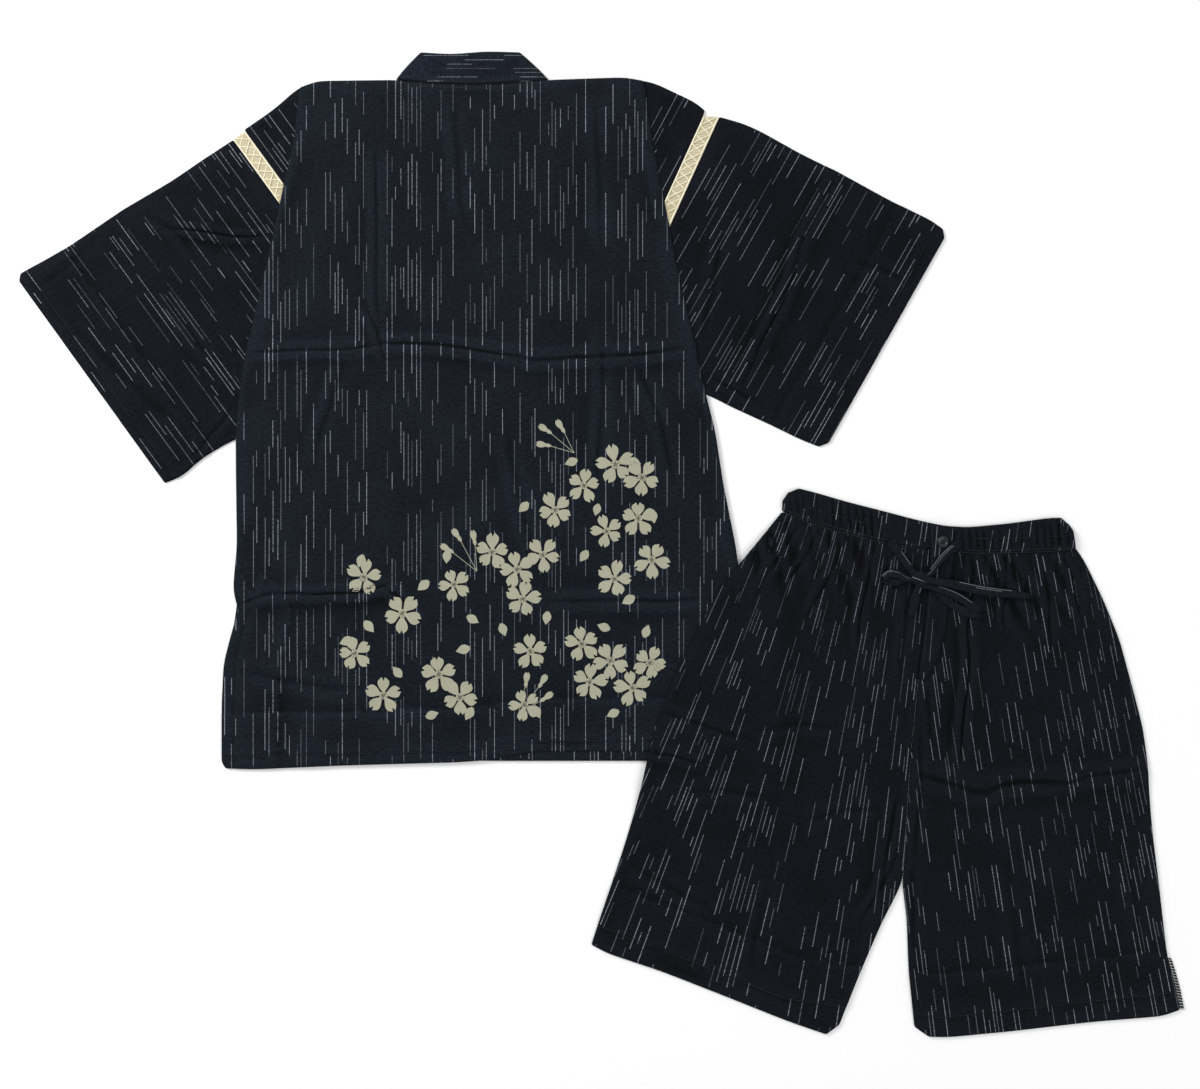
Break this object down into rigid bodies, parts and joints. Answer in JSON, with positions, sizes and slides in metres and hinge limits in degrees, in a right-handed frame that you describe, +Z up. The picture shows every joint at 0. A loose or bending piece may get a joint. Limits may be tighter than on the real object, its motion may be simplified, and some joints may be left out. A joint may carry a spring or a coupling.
{
  "type": "jinbei set",
  "caption": "Jinbei set laid flat: short-sleeved wrap top, back side up, with lace armhole insertions, and drawstring shorts over its lower corner.",
  "frame": {"origin": "centre of the underside of the whole laid-out set, on the surface it lies on", "axes": "+Z up from the surface, +X across the set towards the shorts, +Y towards the necks and waist"},
  "size_m": [1.2226, 1.034, 0.0126],
  "materials": {
    "navy_cloth": "crinkled plain cotton weave with thin broken pale stripes, matt",
    "ecru_lace": "ecru ladder lace braid",
    "dark_button": "glossy four-hole shirt button"
  },
  "bodies": {
    "root": {"back": "navy_cloth", "front_left": "navy_cloth", "front_right": "navy_cloth", "collar": "navy_cloth", "sleeve_left": "navy_cloth", "sleeve_right": "navy_cloth", "tie_front": "navy_cloth", "tie_side": "navy_cloth", "shorts_back_right": "navy_cloth", "shorts_back_left": "navy_cloth", "shorts_front_right": "navy_cloth", "shorts_front_left": "navy_cloth", "side_seam_allowance": "navy_cloth", "waistband": "navy_cloth", "fly_flap": "navy_cloth", "string_left": "navy_cloth", "string_right": "navy_cloth", "loop_left": "navy_cloth", "loop_right": "navy_cloth", "tail_left": "navy_cloth", "tail_right": "navy_cloth", "bow_knot": "navy_cloth", "lace_left": "ecru_lace", "lace_right": "ecru_lace", "button": "dark_button"}
  },
  "joints": []
}
